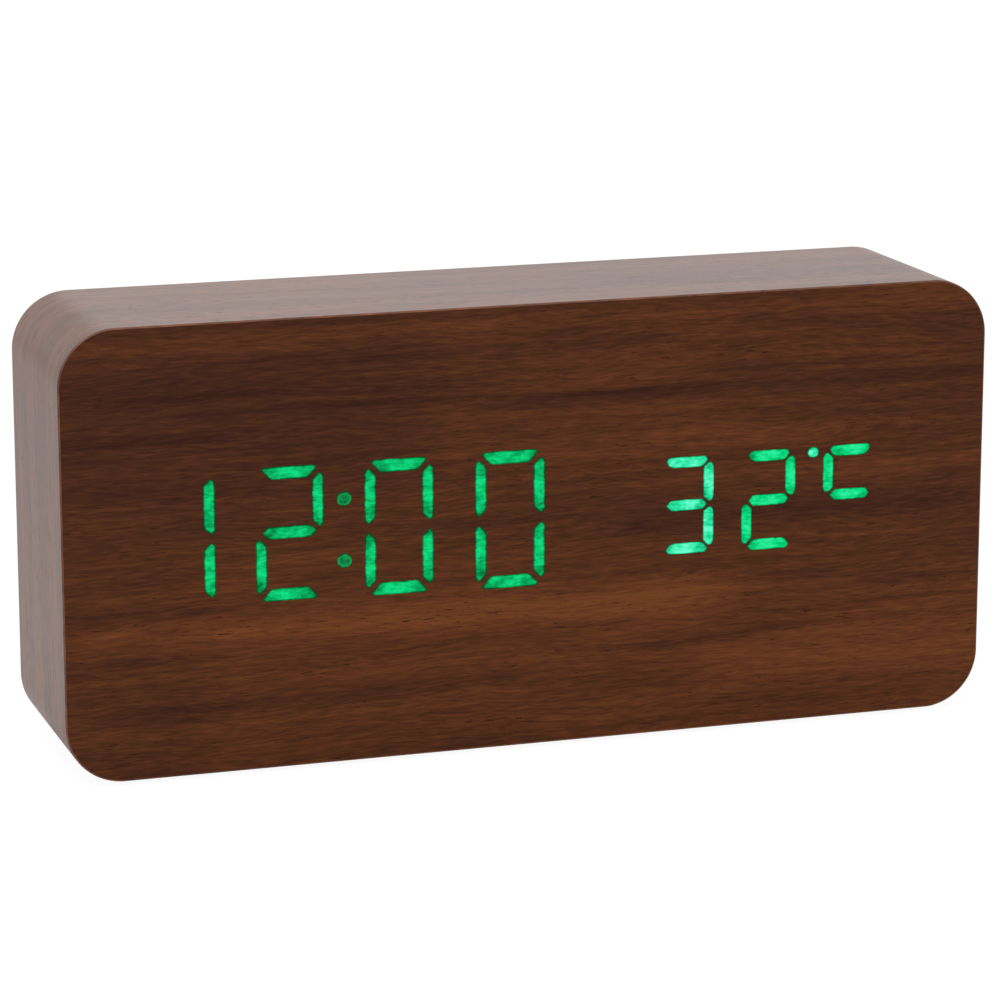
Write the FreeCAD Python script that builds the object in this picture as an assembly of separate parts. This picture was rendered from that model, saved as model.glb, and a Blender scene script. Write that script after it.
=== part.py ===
import FreeCAD, Part
import math
import os

from FreeCAD import Vector

# Alarm clock: a film-covered MDF block with LED digits behind the front film.
# Millimetres. X to the right, Y to the rear, Z up. The origin is on the surface
# it stands on, under the middle of the case.

# ---- case -------------------------------------------------------------------
case_w = 150.0
case_h = 70.0
case_d = 34.0
corner_r = 9.0
film_t = 0.3
foot_t = 0.8
foot_r = 5.0
foot_inset = 12.0          # from the case's side and front to a foot's middle
foot_inset_y = 8.5
film_seam = 0.2            # butt seam of the side film, under the case
wall_t = 6.0               # side walls of the wood
front_wall_t = 8.0
rim_t = 3.0                # wood outside the rear cover
corner_block = 7.0         # wood left in the cavity's corners for the cover screws

# ---- rear cover -------------------------------------------------------------
cover_t = 2.0
cover_recess = 1.5
cover_gap = 0.3            # between the cover's edge and the rim
cover_screw_inset = 3.2    # from the cavity wall to the screw's axis

# ---- clearances -------------------------------------------------------------
fit_gap = 0.2              # housings in windows, stems in holes
screw_gap = 0.1            # round a screw's shank, on the radius
run_gap = 0.3              # between moving pieces and the cover
seat_gap = 0.15            # under the closed door

# ---- displays ---------------------------------------------------------------
digits_lift = 1.75         # middle of the digits above the middle of the case
board_t = 1.6
board_rim = 5.5            # board past the housings, above and below
board_margin = 1.8         # board past the outer ends of the housings
segment_gap = 0.05
segment_depth = 3.0
time_left = -62.65
time_pitch = 17.4
time_digit_w = 11.1
time_digit_h = 21.6
time_stroke = 1.8
time_bar_t = 2.0
time_tip_gap = 1.0
temp_left = 19.8
temp_pitch = 13.7
temp_digit_w = 9.1
temp_digit_h = 16.15
temp_stroke = 1.75
colon_x = -31.3
colon_rise = 4.85
colon_r = 1.05
degree_x = 45.7
degree_rise = 7.0
degree_r = 0.9
housing_side = 3.1         # housing past the digits at each end
housing_top = 3.2          # housing past the digits above and below
led_size = (1.6, 0.6, 0.8)
board_screw_inset_x = 6.0
board_screw_low = 3.5
board_screw_high = 2.6

# ---- screws: shank radius, length, head radius, head height -------------------
board_screw = (1.0, 6.5, 2.0, 1.3)
cover_screw = (1.3, 10.0, 2.5, 1.3)
post_screw = (1.0, 6.0, 2.0, 1.2)

# ---- battery bay ------------------------------------------------------------
cell_r = 5.15
cell_l = 43.5
cell_nub_r = 1.9
cell_nub_l = 1.0
cell_spacing = 0.6         # between two cells
cell_count = 3
cell_gap = 0.2             # under the cells and over them
spring_l = 4.5
spring_r = 3.0
spring_wire_r = 0.3
spring_turns = 3.5
spring_steps = 10          # straight runs in a turn
contact_t = 0.4
contact_w = 8.0
tab_w = 3.0                # solder tab of a terminal, through the bay's floor
tab_l = 1.2                # past the floor
bay_x = -30.0
bay_drop = 2.0             # middle of the bay under the middle of the case
bay_wall = 1.5
flange_t = 1.8

# ---- battery door -----------------------------------------------------------
door_t = 1.8
door_lap = 2.0             # door past the bay's inside, at the ends and below
hinge_r = 1.6
pivot_r = 1.0
pivot_l = 1.5
pivot_gap = 0.1
hinge_rise = 3.7           # axis above the bay's inside
latch_w = 8.0
latch_l = 1.5
latch_t = 1.5

# ---- buttons and their board --------------------------------------------------
button_x = (22.0, 36.0, 50.0)
button_names = ("set", "up", "down")
button_rise = 9.0
button_r = 3.0
button_stand = 1.2         # above the cover's outer face
button_travel = 0.5
button_flange_r = 4.2
button_flange_t = 1.0
guide_wall = 1.0           # moulded sleeve round each button and its switch
guide_lap = 1.0            # sleeve past the top of the switch
switch_w = 6.0
switch_h = 3.5
plunger_r = 1.7
plunger_h = 1.5
plunger_in = 0.8           # plunger inside the switch at rest
button_board_w = 50.0
button_board_h = 36.0
post_r = 2.6
post_inset = 3.4
socket_w = 7.6
socket_h = 2.8
socket_l = 7.2
socket_wall = 0.35
socket_drop = 10.0
tongue_w = 4.6
tongue_t = 0.8
tongue_l = 5.4
socket_base_t = 1.2

# ---- worked out ---------------------------------------------------------------
mid_z = foot_t + case_h / 2
front_y = -case_d / 2
rear_y = case_d / 2
wood_front_y = front_y + film_t
wood_w = case_w - 2 * film_t
wood_h = case_h - 2 * film_t
wood_r = corner_r - film_t
cavity_w = wood_w - 2 * wall_t
cavity_h = wood_h - 2 * wall_t
cavity_front_y = wood_front_y + front_wall_t
cover_out_y = rear_y - cover_recess
cover_in_y = cover_out_y - cover_t
rebate_w = wood_w - 2 * rim_t
rebate_h = wood_h - 2 * rim_t
rebate_r = wood_r - rim_t
board_back_y = cavity_front_y + board_t
corner_y = board_back_y + board_screw[3] + run_gap
digits_z = mid_z + digits_lift
board_h = time_digit_h + 2 * (housing_top + board_rim)
time_right = time_left + 3 * time_pitch + time_digit_w
temp_right = temp_left + 2 * temp_pitch + temp_digit_w
board_x0 = time_left - housing_side - board_margin
board_x1 = temp_right + housing_side + board_margin
bay_z = mid_z - bay_drop
bay_w = cell_l + cell_nub_l + spring_l + 2 * contact_t
cell_pitch = 2 * cell_r + cell_spacing
bay_h = cell_count * cell_pitch
door_out_y = cover_out_y
door_in_y = door_out_y - door_t
ledge_y = door_in_y - seat_gap
cell_y = ledge_y - cell_gap - cell_r
bay_floor_y = cell_y - cell_r - cell_gap
bay_bottom_y = bay_floor_y - bay_wall
hinge_y = door_out_y - hinge_r
hinge_z = bay_z + bay_h / 2 + hinge_rise
door_w = bay_w + 2 * door_lap
door_low_z = bay_z - bay_h / 2 - door_lap
button_z = mid_z + button_rise
flange_top_y = cover_in_y - fit_gap
flange_low_y = flange_top_y - button_flange_t
button_board_y1 = flange_low_y - plunger_h - switch_h
button_board_y0 = button_board_y1 - board_t
button_board_x = button_x[1]
socket_z = mid_z - socket_drop


# ---- shapes -------------------------------------------------------------------
def box(x0, x1, y0, y1, z0, z1):
    return Part.makeBox(x1 - x0, y1 - y0, z1 - z0, Vector(x0, y0, z0))


def block(x, z, w, h, y0, y1):
    """A box round a middle (x, z), from y0 to y1."""
    return box(x - w / 2, x + w / 2, y0, y1, z - h / 2, z + h / 2)


def rod_y(x, z, r, y0, y1):
    return Part.makeCylinder(r, y1 - y0, Vector(x, y0, z), Vector(0, 1, 0))


def rod_x(y, z, r, x0, x1):
    return Part.makeCylinder(r, x1 - x0, Vector(x0, y, z), Vector(1, 0, 0))


def prism(points, y0, y1, grow=0.0):
    """A flat outline of (x, z) points, from y0 to y1, its edges moved out by grow."""
    corners = [Vector(x, y0, z) for x, z in points]
    face = Part.Face(Part.makePolygon(corners + corners[:1]))
    if grow:
        face = face.makeOffset2D(grow, join=2)
    return face.extrude(Vector(0, y1 - y0, 0))


def rounded(w, h, r, y0, y1, x=0.0, z=mid_z):
    """A block with its four long edges rounded to r."""
    shape = block(x, z, w, h, y0, y1)
    edges = [e for e in shape.Edges if abs(e.BoundBox.YLength - (y1 - y0)) < 1e-6]
    return shape.makeFillet(r, edges)


def slot(x, z, length, width, y0, y1, upright):
    """A bar with round ends."""
    r = width / 2
    reach = length / 2 - r
    across = (0, 1) if upright else (1, 0)
    size = (width, length - width) if upright else (length - width, width)
    shape = block(x, z, size[0], size[1], y0, y1)
    for side in (-1, 1):
        end = rod_y(x + side * reach * across[0], z + side * reach * across[1], r, y0, y1)
        shape = shape.fuse(end)
    return shape.removeSplitter()


def screw(x, z, y_seat, spec, head_side):
    """A screw along Y. Its head sits on y_seat, on the head_side (+1 rear, -1 front)."""
    shank_r, length, head_r, head_h = spec
    if head_side > 0:
        shank = rod_y(x, z, shank_r, y_seat - length, y_seat)
        head = rod_y(x, z, head_r, y_seat, y_seat + head_h)
        slot_y = (y_seat + head_h / 2, y_seat + head_h)
        crown = y_seat + head_h
    else:
        shank = rod_y(x, z, shank_r, y_seat, y_seat + length)
        head = rod_y(x, z, head_r, y_seat - head_h, y_seat)
        slot_y = (y_seat - head_h, y_seat - head_h / 2)
        crown = y_seat - head_h
    rim = [e for e in head.Edges if e.Closed and abs(e.BoundBox.YMin - crown) < 1e-6]
    head = head.makeFillet(head_h * 0.4, rim)
    for w, h in ((head_r * 1.2, head_r * 0.3), (head_r * 0.3, head_r * 1.2)):
        head = head.cut(block(x, z, w, h, slot_y[0], slot_y[1]))
    return shank.fuse(head).removeSplitter()


def wire_path(points, radius):
    """Straight runs through the points, joined by tangent arcs of one radius."""
    edges = []
    start = points[0]
    for i in range(1, len(points) - 1):
        here = points[i]
        back = (points[i - 1] - here).normalize()
        ahead = (points[i + 1] - here).normalize()
        half = back.getAngle(ahead) / 2
        cut = radius / math.tan(half)
        a = here + back * cut
        b = here + ahead * cut
        middle = here + (back + ahead).normalize() * (radius / math.sin(half) - radius)
        edges.append(Part.LineSegment(start, a).toShape())
        edges.append(Part.Arc(a, middle, b).toShape())
        start = b
    edges.append(Part.LineSegment(start, points[-1]).toShape())
    return Part.Wire(edges)


def wire(points, radius, wire_r):
    path = wire_path(points, radius)
    ring = Part.Circle(points[0], points[1] - points[0], wire_r).toShape()
    return path.makePipeShell([Part.Wire([ring])], True, False)


def save(name, shape):
    if isinstance(shape, (list, tuple)):
        shape = Part.makeCompound(list(shape))
    shape.exportStep("parts/" + name + ".step")


# ---- case and films -------------------------------------------------------------
def cover_screw_places():
    reach_x = cavity_w / 2 - cover_screw_inset
    reach_z = cavity_h / 2 - cover_screw_inset
    return [(sx * reach_x, mid_z + sz * reach_z) for sx in (-1, 1) for sz in (-1, 1)]


def board_screw_places():
    low = digits_z - board_h / 2 + board_screw_low
    high = digits_z + board_h / 2 - board_screw_high
    left = board_x0 + board_screw_inset_x
    right = board_x1 - board_screw_inset_x
    return [(x, z) for x in (left, right) for z in (low, high)]


def time_window():
    w = time_right - time_left + 2 * housing_side
    h = time_digit_h + 2 * housing_top
    return ((time_left + time_right) / 2, w, h)


def temperature_window():
    w = temp_right - temp_left + 2 * housing_side
    h = temp_digit_h + 2 * housing_top
    return ((temp_left + temp_right) / 2, w, h)


def case_body():
    shape = rounded(wood_w, wood_h, wood_r, wood_front_y, rear_y)
    cavity = block(0, mid_z, cavity_w, cavity_h, cavity_front_y, rear_y + 1)
    for sx in (-1, 1):
        for sz in (-1, 1):
            x = sx * (cavity_w - corner_block) / 2
            z = mid_z + sz * (cavity_h - corner_block) / 2
            cavity = cavity.cut(block(x, z, corner_block, corner_block, corner_y, cover_in_y))
    shape = shape.cut(cavity)
    shape = shape.cut(rounded(rebate_w, rebate_h, rebate_r, cover_in_y, rear_y + 1))
    for x, w, h in (time_window(), temperature_window()):
        hole = block(x, digits_z, w + 2 * fit_gap, h + 2 * fit_gap, wood_front_y - 1, cavity_front_y + 1)
        shape = shape.cut(hole)
    for x, z in cover_screw_places():
        shape = shape.cut(rod_y(x, z, cover_screw[0] + screw_gap, cover_out_y - cover_screw[1] - 1, cover_out_y))
    for x, z in board_screw_places():
        end = board_back_y - board_screw[1] - 0.5
        shape = shape.cut(rod_y(x, z, board_screw[0] + screw_gap, end, board_back_y))
    return shape


def side_film():
    shape = rounded(case_w, case_h, corner_r, wood_front_y, rear_y)
    shape = shape.cut(rounded(wood_w, wood_h, wood_r, wood_front_y - 1, rear_y + 1))
    return shape.cut(block(0, foot_t, film_seam, 2 * film_t + 1, wood_front_y - 1, rear_y + 1))


def foot_pads():
    reach_x = case_w / 2 - foot_inset
    reach_y = case_d / 2 - foot_inset_y
    places = [(sx * reach_x, sy * reach_y) for sx in (-1, 1) for sy in (-1, 1)]
    return [Part.makeCylinder(foot_r, foot_t, Vector(x, y, 0)) for x, y in places]


# ---- display ---------------------------------------------------------------------
def time_outlines():
    """The seven bars of a time digit, from its lower left corner."""
    w, h = time_digit_w, time_digit_h
    s, t, g = time_stroke, time_bar_t, time_tip_gap
    half = h / 2
    nose = s * 0.65
    bars = {}
    for name, z0, z1 in (("upper", half + g / 2, h - g - g / 2), ("lower", g + g / 2, half - g / 2)):
        bars[name] = [(w - s, z0 + nose), (w - s + nose, z0), (w, z0 + s - nose),
                      (w, z1 - s + nose), (w - s + nose, z1), (w - s, z1 - nose)]
    top = [(g * 1.2, h), (w - g * 1.2, h), (w - g * 1.2 - t * 0.8, h - t), (g * 1.2 + t * 0.8, h - t)]
    middle = [(g, half), (g + t / 2, half + t / 2), (w - g - t / 2, half + t / 2),
              (w - g, half), (w - g - t / 2, half - t / 2), (g + t / 2, half - t / 2)]
    mirror = {name: [(w - x, z) for x, z in bar] for name, bar in bars.items()}
    foot = [(x, h - z) for x, z in top]
    return {"a": top, "b": bars["upper"], "c": bars["lower"], "d": foot,
            "e": mirror["lower"], "f": mirror["upper"], "g": middle}


def time_bars(y0, y1, grow):
    low_z = digits_z - time_digit_h / 2
    shapes = []
    for digit in range(4):
        x0 = time_left + digit * time_pitch
        for outline in time_outlines().values():
            shapes.append(prism([(x0 + x, low_z + z) for x, z in outline], y0, y1, grow))
    for side in (-1, 1):
        shapes.append(rod_y(colon_x, digits_z + side * colon_rise, colon_r + grow, y0, y1))
    return shapes


def temperature_bars(y0, y1, grow):
    w, h, s = temp_digit_w, temp_digit_h, temp_stroke
    level = w - 2 * s
    upright = h / 2 - s - 0.1
    width = s + 2 * grow
    shapes = []
    for digit in range(3):
        x = temp_left + digit * temp_pitch
        for rise in (-1, 0, 1):
            z = digits_z + rise * (h - s) / 2
            shapes.append(slot(x + w / 2, z, level + 2 * grow, width, y0, y1, False))
        for side in (s / 2, w - s / 2):
            for rise in (-1, 1):
                z = digits_z + rise * h / 4
                shapes.append(slot(x + side, z, upright + 2 * grow, width, y0, y1, True))
    shapes.append(rod_y(degree_x, digits_z + degree_rise, degree_r + grow, y0, y1))
    return shapes


def housing(window, bars):
    x, w, h = window
    return block(x, digits_z, w, h, wood_front_y, cavity_front_y).cut(Part.makeCompound(bars))


def led_chips():
    """A chip in the foot of each well, on the board."""
    w, deep, h = led_size
    chips = []
    wells = time_bars(cavity_front_y - deep, cavity_front_y, 0)
    wells += temperature_bars(cavity_front_y - deep, cavity_front_y, 0)
    for well in wells:
        middle = well.BoundBox.Center
        size = (h, w) if well.BoundBox.ZLength > well.BoundBox.XLength else (w, h)
        chips.append(block(middle.x, middle.z, size[0], size[1], cavity_front_y - deep, cavity_front_y))
    return chips


def display_board():
    shape = box(board_x0, board_x1, cavity_front_y, board_back_y, digits_z - board_h / 2, digits_z + board_h / 2)
    for x, z in board_screw_places():
        shape = shape.cut(rod_y(x, z, board_screw[0] + screw_gap, cavity_front_y - 1, board_back_y + 1))
    return shape


# ---- parts on the back of the display board ----------------------------------------
def chip(x, z, w, h, t, legs, pitch, leg_reach=1.2):
    """A moulded package with gull-wing legs on its long sides."""
    y0 = board_back_y
    stand = 0.15
    shape = block(x, z, w, h, y0 + stand, y0 + t)
    shape = shape.makeChamfer(0.3, [e for e in shape.Edges if abs(e.BoundBox.YMin - (y0 + t)) < 1e-6])
    notch = rod_y(x - w / 2 + 1.2, z + h / 2 - 1.2, 0.5, y0 + t - 0.2, y0 + t + 1)
    shape = shape.cut(notch)
    for i in range(legs):
        lx = x + (i - (legs - 1) / 2) * pitch
        for side in (-1, 1):
            edge = z + side * h / 2
            out = z + side * (h / 2 + leg_reach)
            foot = box(lx - 0.2, lx + 0.2, y0, y0 + 0.15, min(edge, out), max(edge, out))
            rise = box(lx - 0.2, lx + 0.2, y0, y0 + t / 2, *sorted((edge, edge + side * 0.4)))
            shape = shape.fuse(foot).fuse(rise)
    return shape.removeSplitter()


def small_chip(x, z, w, h, t, metal):
    """A two-ended chip part: a body between two tinned ends."""
    y0 = board_back_y
    body = block(x, z, w - 2 * metal, h, y0, y0 + t - 0.05)
    ends = [block(x + s * (w - metal) / 2, z, metal, h, y0, y0 + t) for s in (-1, 1)]
    return body.fuse(ends)


def transistor(x, z):
    y0 = board_back_y
    shape = block(x, z, 2.9, 1.3, y0 + 0.1, y0 + 1.1)
    for lx, side in ((-0.95, -1), (0.95, -1), (0, 1)):
        edge = z + side * 0.65
        foot = box(x + lx - 0.2, x + lx + 0.2, y0, y0 + 0.3, *sorted((edge, edge + side * 0.6)))
        shape = shape.fuse(foot)
    return shape


buzzer_x = 6.0
buzzer_z = mid_z + 6.0
chip_low_z = mid_z - 11.0
chip_x = -47.0
driver_x = 24.0
driver_z = mid_z + 9.0


def digit_transistors():
    return [transistor(-56.0 + i * 5.0, mid_z + 16.5) for i in range(7)]


def chip_resistors():
    row = [small_chip(-25.0 + i * 4.0, cell_z(0) - 2.5, 2.0, 1.25, 0.5, 0.4) for i in range(7)]
    return row + [small_chip(16.0 + i * 4.0, mid_z + 19.0, 2.0, 1.25, 0.5, 0.4) for i in range(9)]


def chip_capacitors():
    places = [(chip_x - 10.5, chip_low_z), (chip_x + 10.5, chip_low_z), (driver_x - 9.5, driver_z),
              (driver_x + 9.5, driver_z), (chip_x + 10.5, chip_low_z - 4.0)]
    return [small_chip(x, z, 2.0, 1.25, 1.2, 0.45) for x, z in places]


def timing_crystal():
    """A low tin can, on its side along the board."""
    x, z = chip_x + 19.0, chip_low_z + 6.0
    shape = slot(x, z, 11.0, 4.6, board_back_y, board_back_y + 3.2, False)
    edges = [e for e in shape.Edges if abs(e.BoundBox.YMin - (board_back_y + 3.2)) < 1e-6]
    return shape.makeFillet(0.6, edges)


def smoothing_capacitor():
    x, z = 4.5, mid_z - 16.0
    base = block(x, z, 6.6, 6.6, board_back_y, board_back_y + 0.9)
    can = rod_y(x, z, 3.15, board_back_y + 0.9, board_back_y + 7.7)
    top = [e for e in can.Edges if e.Closed and abs(e.BoundBox.YMin - (board_back_y + 7.7)) < 1e-6]
    return base.fuse(can.makeFillet(0.4, top))


def buzzer():
    x, z = buzzer_x, buzzer_z
    shape = rod_y(x, z, 5.8, board_back_y, board_back_y + 9.0)
    top = [e for e in shape.Edges if e.Closed and abs(e.BoundBox.YMin - (board_back_y + 9.0)) < 1e-6]
    shape = shape.makeFillet(0.6, top)
    return shape.cut(rod_y(x, z, 1.0, board_back_y + 7.5, board_back_y + 10))


# ---- rear cover and battery bay ---------------------------------------------------
sound_hole_r = 0.9
sound_ring_r = 3.4
vent_x = 57.0
vent_z = mid_z - 19.0
vent_l = 12.0
vent_w = 1.4
vent_pitch = 3.0
keeper_gap = 0.3
terminals = ((1, 0), (-1, cell_count - 1))     # side of the bay, cell


def post_places():
    reach_x = button_board_w / 2 - post_inset
    reach_z = button_board_h / 2 - post_inset
    return [(button_board_x + sx * reach_x, mid_z + sz * reach_z) for sx in (-1, 1) for sz in (-1, 1)]


def rear_cover():
    plate = rounded(rebate_w - 2 * cover_gap, rebate_h - 2 * cover_gap, rebate_r - cover_gap,
                    cover_in_y, cover_out_y)
    side = pivot_l + run_gap + 1.2
    groove = hinge_r + run_gap
    flange = box(bay_x - door_w / 2 - side, bay_x + door_w / 2 + side, cover_in_y - flange_t, cover_in_y,
                 door_low_z - 2 * bay_wall, hinge_z + groove + bay_wall)
    rail = box(bay_x - door_w / 2 - side, bay_x + door_w / 2 + side, hinge_y - groove - bay_wall, cover_in_y,
               hinge_z - groove - bay_wall, hinge_z + groove + bay_wall)
    tub = block(bay_x, bay_z, bay_w + 2 * bay_wall, bay_h + 2 * bay_wall, bay_bottom_y, cover_in_y)
    shape = plate.fuse(flange).fuse(rail).fuse(tub)
    for x, z in post_places():
        shape = shape.fuse(rod_y(x, z, post_r, button_board_y1, cover_in_y))
    guide_r = button_flange_r + run_gap
    guide_y = button_board_y1 + switch_h - guide_lap
    for x in button_x:
        sleeve = rod_y(x, button_z, guide_r + guide_wall, guide_y, cover_in_y)
        shape = shape.fuse(sleeve.cut(rod_y(x, button_z, guide_r, guide_y, cover_in_y)))
    shape = shape.removeSplitter()
    shape = shape.cut(block(bay_x, bay_z, bay_w, bay_h, bay_floor_y, cover_out_y + 1))
    for x_side, cell in terminals:
        shape = shape.cut(tab(x_side, cell, 0.1, bay_bottom_y - 1))
    half = door_w / 2 + run_gap
    shape = shape.cut(box(bay_x - half, bay_x + half, ledge_y, cover_out_y + 1, door_low_z - run_gap, hinge_z))
    shape = shape.cut(box(bay_x - half, bay_x + half, hinge_y - groove, cover_out_y + 1,
                          hinge_z - groove, hinge_z + groove))
    reach = door_w / 2 + pivot_l + run_gap
    shape = shape.cut(rod_x(hinge_y, hinge_z, pivot_r + pivot_gap, bay_x - reach, bay_x + reach))
    shape = shape.cut(box(bay_x - latch_w / 2 - keeper_gap, bay_x + latch_w / 2 + keeper_gap,
                          door_in_y - latch_l - keeper_gap, cover_out_y,
                          door_low_z - run_gap, bay_z - bay_h / 2 + 1))
    thumb = rod_y(bay_x, door_low_z, 5.0, door_in_y + 0.6, cover_out_y + 1)
    shape = shape.cut(thumb)
    for x, z in cover_screw_places():
        shape = shape.cut(rod_y(x, z, cover_screw[0] + screw_gap, cover_in_y - 1, cover_out_y + 1))
    for x, z in post_places():
        shape = shape.cut(rod_y(x, z, post_screw[0] + screw_gap, button_board_y1 - 1,
                                button_board_y0 + post_screw[1] + 0.5))
    for x in button_x:
        shape = shape.cut(rod_y(x, button_z, button_r + run_gap, cover_in_y - 1, cover_out_y + 1))
    shape = shape.cut(block(button_board_x, socket_z, socket_w + 2 * fit_gap, socket_h + 2 * fit_gap,
                            cover_in_y - 1, cover_out_y + 1))
    for i in range(7):
        turn = 2 * math.pi * i / 6
        ring = sound_ring_r if i else 0.0
        hole = rod_y(buzzer_x + ring * math.cos(turn), buzzer_z + ring * math.sin(turn), sound_hole_r,
                     cover_in_y - 1, cover_out_y + 1)
        shape = shape.cut(hole)
    for i in range(3):
        vent = slot(vent_x, vent_z + (i - 1) * vent_pitch, vent_l, vent_w, cover_in_y - 1, cover_out_y + 1, False)
        shape = shape.cut(vent)
    return shape


def battery_door():
    """The plate, the barrel along its top edge, a stub at each end and the latch."""
    x0 = bay_x - door_w / 2
    x1 = bay_x + door_w / 2
    plate = box(x0, x1, door_in_y, door_out_y, door_low_z, hinge_z)
    barrel = rod_x(hinge_y, hinge_z, hinge_r, x0, x1)
    stubs = rod_x(hinge_y, hinge_z, pivot_r, x0 - pivot_l, x1 + pivot_l)
    latch = box(bay_x - latch_w / 2, bay_x + latch_w / 2, door_in_y - latch_l, door_in_y,
                door_low_z, door_low_z + latch_t)
    shape = plate.fuse(barrel).fuse(stubs).fuse(latch).removeSplitter()
    for i in range(3):
        shape = shape.cut(slot(bay_x, door_low_z + 3.0 + i * 2.2, 14.0, 1.0, door_out_y - 0.4, door_out_y + 1, False))
    return shape


def cell_z(i):
    return bay_z + (i - (cell_count - 1) / 2) * cell_pitch


def cell_way(i):
    """+1 when the cell's nub points to +X, and -1 when it points to -X."""
    return 1 if i % 2 == 0 else -1


def battery_cell(i):
    way = cell_way(i)
    nub_end = bay_x + way * (bay_w / 2 - contact_t)
    shoulder = nub_end - way * cell_nub_l
    tail = shoulder - way * cell_l
    can = rod_x(cell_y, cell_z(i), cell_r, min(shoulder, tail), max(shoulder, tail))
    rims = [e for e in can.Edges if e.Closed]
    can = can.makeFillet(0.6, rims)
    nub = rod_x(cell_y, cell_z(i), cell_nub_r, *sorted((shoulder - way, nub_end)))
    return can.fuse(nub).removeSplitter()


def contact_plate(x_side, cells):
    """It stands against the bay's end wall and spans the cells named."""
    x = bay_x + x_side * (bay_w - contact_t) / 2
    z0 = cell_z(cells[0]) - contact_w / 2
    z1 = cell_z(cells[-1]) + contact_w / 2
    return box(x - contact_t / 2, x + contact_t / 2, bay_floor_y, cell_y + contact_w / 2, z0, z1)


def tab(x_side, cell, grow, y0):
    x = bay_x + x_side * (bay_w - contact_t) / 2
    return block(x, cell_z(cell), contact_t + 2 * grow, tab_w + 2 * grow, y0, bay_floor_y)


def battery_contact_plates():
    """One plate for each single terminal, and one that links two cells, at each end."""
    shapes = [contact_plate(1, (1, 2)), contact_plate(-1, (0, 1))]
    for x_side, cell in terminals:
        foot = tab(x_side, cell, 0, bay_bottom_y - tab_l)
        shapes.append(contact_plate(x_side, (cell,)).fuse(foot).removeSplitter())
    return shapes


def battery_springs():
    """A coil on the contact plate at each cell's flat end."""
    springs = []
    for i in range(cell_count):
        way = -cell_way(i)
        back = bay_x + way * (bay_w / 2 - contact_t - spring_wire_r)
        travel = spring_l - 2 * spring_wire_r
        steps = int(spring_turns * spring_steps)
        points = []
        for k in range(steps + 1):
            turn = 2 * math.pi * k / spring_steps
            points.append(Vector(back - way * travel * k / steps,
                                 cell_y + spring_r * math.sin(turn),
                                 cell_z(i) + spring_r * math.cos(turn)))
        run = (points[1] - points[0]).Length
        bend = 0.48 * run / math.tan(math.pi / spring_steps)
        springs.append(wire(points, bend, spring_wire_r))
    return springs


# ---- buttons and their board ---------------------------------------------------------
def button_board():
    shape = block(button_board_x, mid_z, button_board_w, button_board_h, button_board_y0, button_board_y1)
    for x, z in post_places():
        hole = rod_y(x, z, post_screw[0] + screw_gap, button_board_y0 - 1, button_board_y1 + 1)
        shape = shape.cut(hole)
    return shape


def switch(x):
    top = button_board_y1 + switch_h
    body = block(x, button_z, switch_w, switch_w, button_board_y1, top)
    body = body.cut(rod_y(x, button_z, plunger_r + 0.1, top - plunger_in - button_travel - 0.3, top + 1))
    for sx in (-1, 1):
        for sz in (-1, 1):
            leg = block(x + sx * (switch_w / 2 + 0.7), button_z + sz * 2.2, 1.4, 0.7,
                        button_board_y1, button_board_y1 + 0.4)
            body = body.fuse(leg)
    return body.removeSplitter()


def switch_plunger(x):
    top = button_board_y1 + switch_h
    return rod_y(x, button_z, plunger_r, top - plunger_in, top + plunger_h)


def button(x):
    """A round cap with a flange that keeps it behind the cover."""
    cap_top = cover_out_y + button_stand
    cap = rod_y(x, button_z, button_r, flange_low_y, cap_top)
    rim = [e for e in cap.Edges if e.Closed and abs(e.BoundBox.YMin - cap_top) < 1e-6]
    cap = cap.makeFillet(0.5, rim)
    flange = rod_y(x, button_z, button_flange_r, flange_low_y, flange_top_y)
    return cap.fuse(flange).removeSplitter()


def power_socket_shell():
    """A drawn tin shell, open to the rear."""
    y0 = button_board_y1
    y1 = y0 + socket_l
    shape = rounded(socket_w, socket_h, 0.6, y0, y1, button_board_x, socket_z)
    inner_w = socket_w - 2 * socket_wall
    inner_h = socket_h - 2 * socket_wall
    return shape.cut(rounded(inner_w, inner_h, 0.3, y0 - 1, y1 + 1, button_board_x, socket_z))


def power_socket_tongue():
    y0 = button_board_y1
    inner_w = socket_w - 2 * socket_wall
    inner_h = socket_h - 2 * socket_wall
    base = rounded(inner_w - 0.1, inner_h - 0.1, 0.25, y0, y0 + socket_base_t, button_board_x, socket_z)
    tongue = block(button_board_x, socket_z, tongue_w, tongue_t, y0, y0 + tongue_l)
    return base.fuse(tongue).removeSplitter()


def thermistor():
    """A glass bead on two wire legs, behind the vents."""
    x = button_board_x + button_board_w / 2 - 2.0
    z = mid_z - button_board_h / 2 + 8.5
    y0 = button_board_y1
    bead = Part.makeSphere(1.1, Vector(x, y0 + 3.2, z))
    for side in (-0.5, 0.5):
        bead = bead.fuse(rod_y(x + side, z, 0.25, y0, y0 + 3.0))
    return bead


# ---- leads --------------------------------------------------------------------------
lead_count = 5
lead_pitch = 1.5
lead_r = 0.5
header_w = 9.0
header_d = 3.6
header_h = 4.4
header_x = 30.0
header_z = mid_z - 6.0
header_shift = 6.0         # from one header to the other, along X
battery_lead_r = 0.6
battery_lead_shift = 5.0


def header(x, y0, y1):
    return block(x, header_z, header_d, header_w, y0, y1)


def link_cable():
    """Five leads side by side between the headers of the two boards."""
    y0 = board_back_y + header_h
    y1 = button_board_y0 - header_h
    x1 = header_x + header_shift
    bend = min(y1 - y0, header_shift) * 0.45
    middle = (y0 + y1) / 2
    leads = []
    for i in range(lead_count):
        z = header_z + (i - (lead_count - 1) / 2) * lead_pitch
        points = [Vector(header_x, y0, z), Vector(header_x, middle, z), Vector(x1, middle, z), Vector(x1, y1, z)]
        leads.append(wire(points, bend, lead_r))
    return leads


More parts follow.
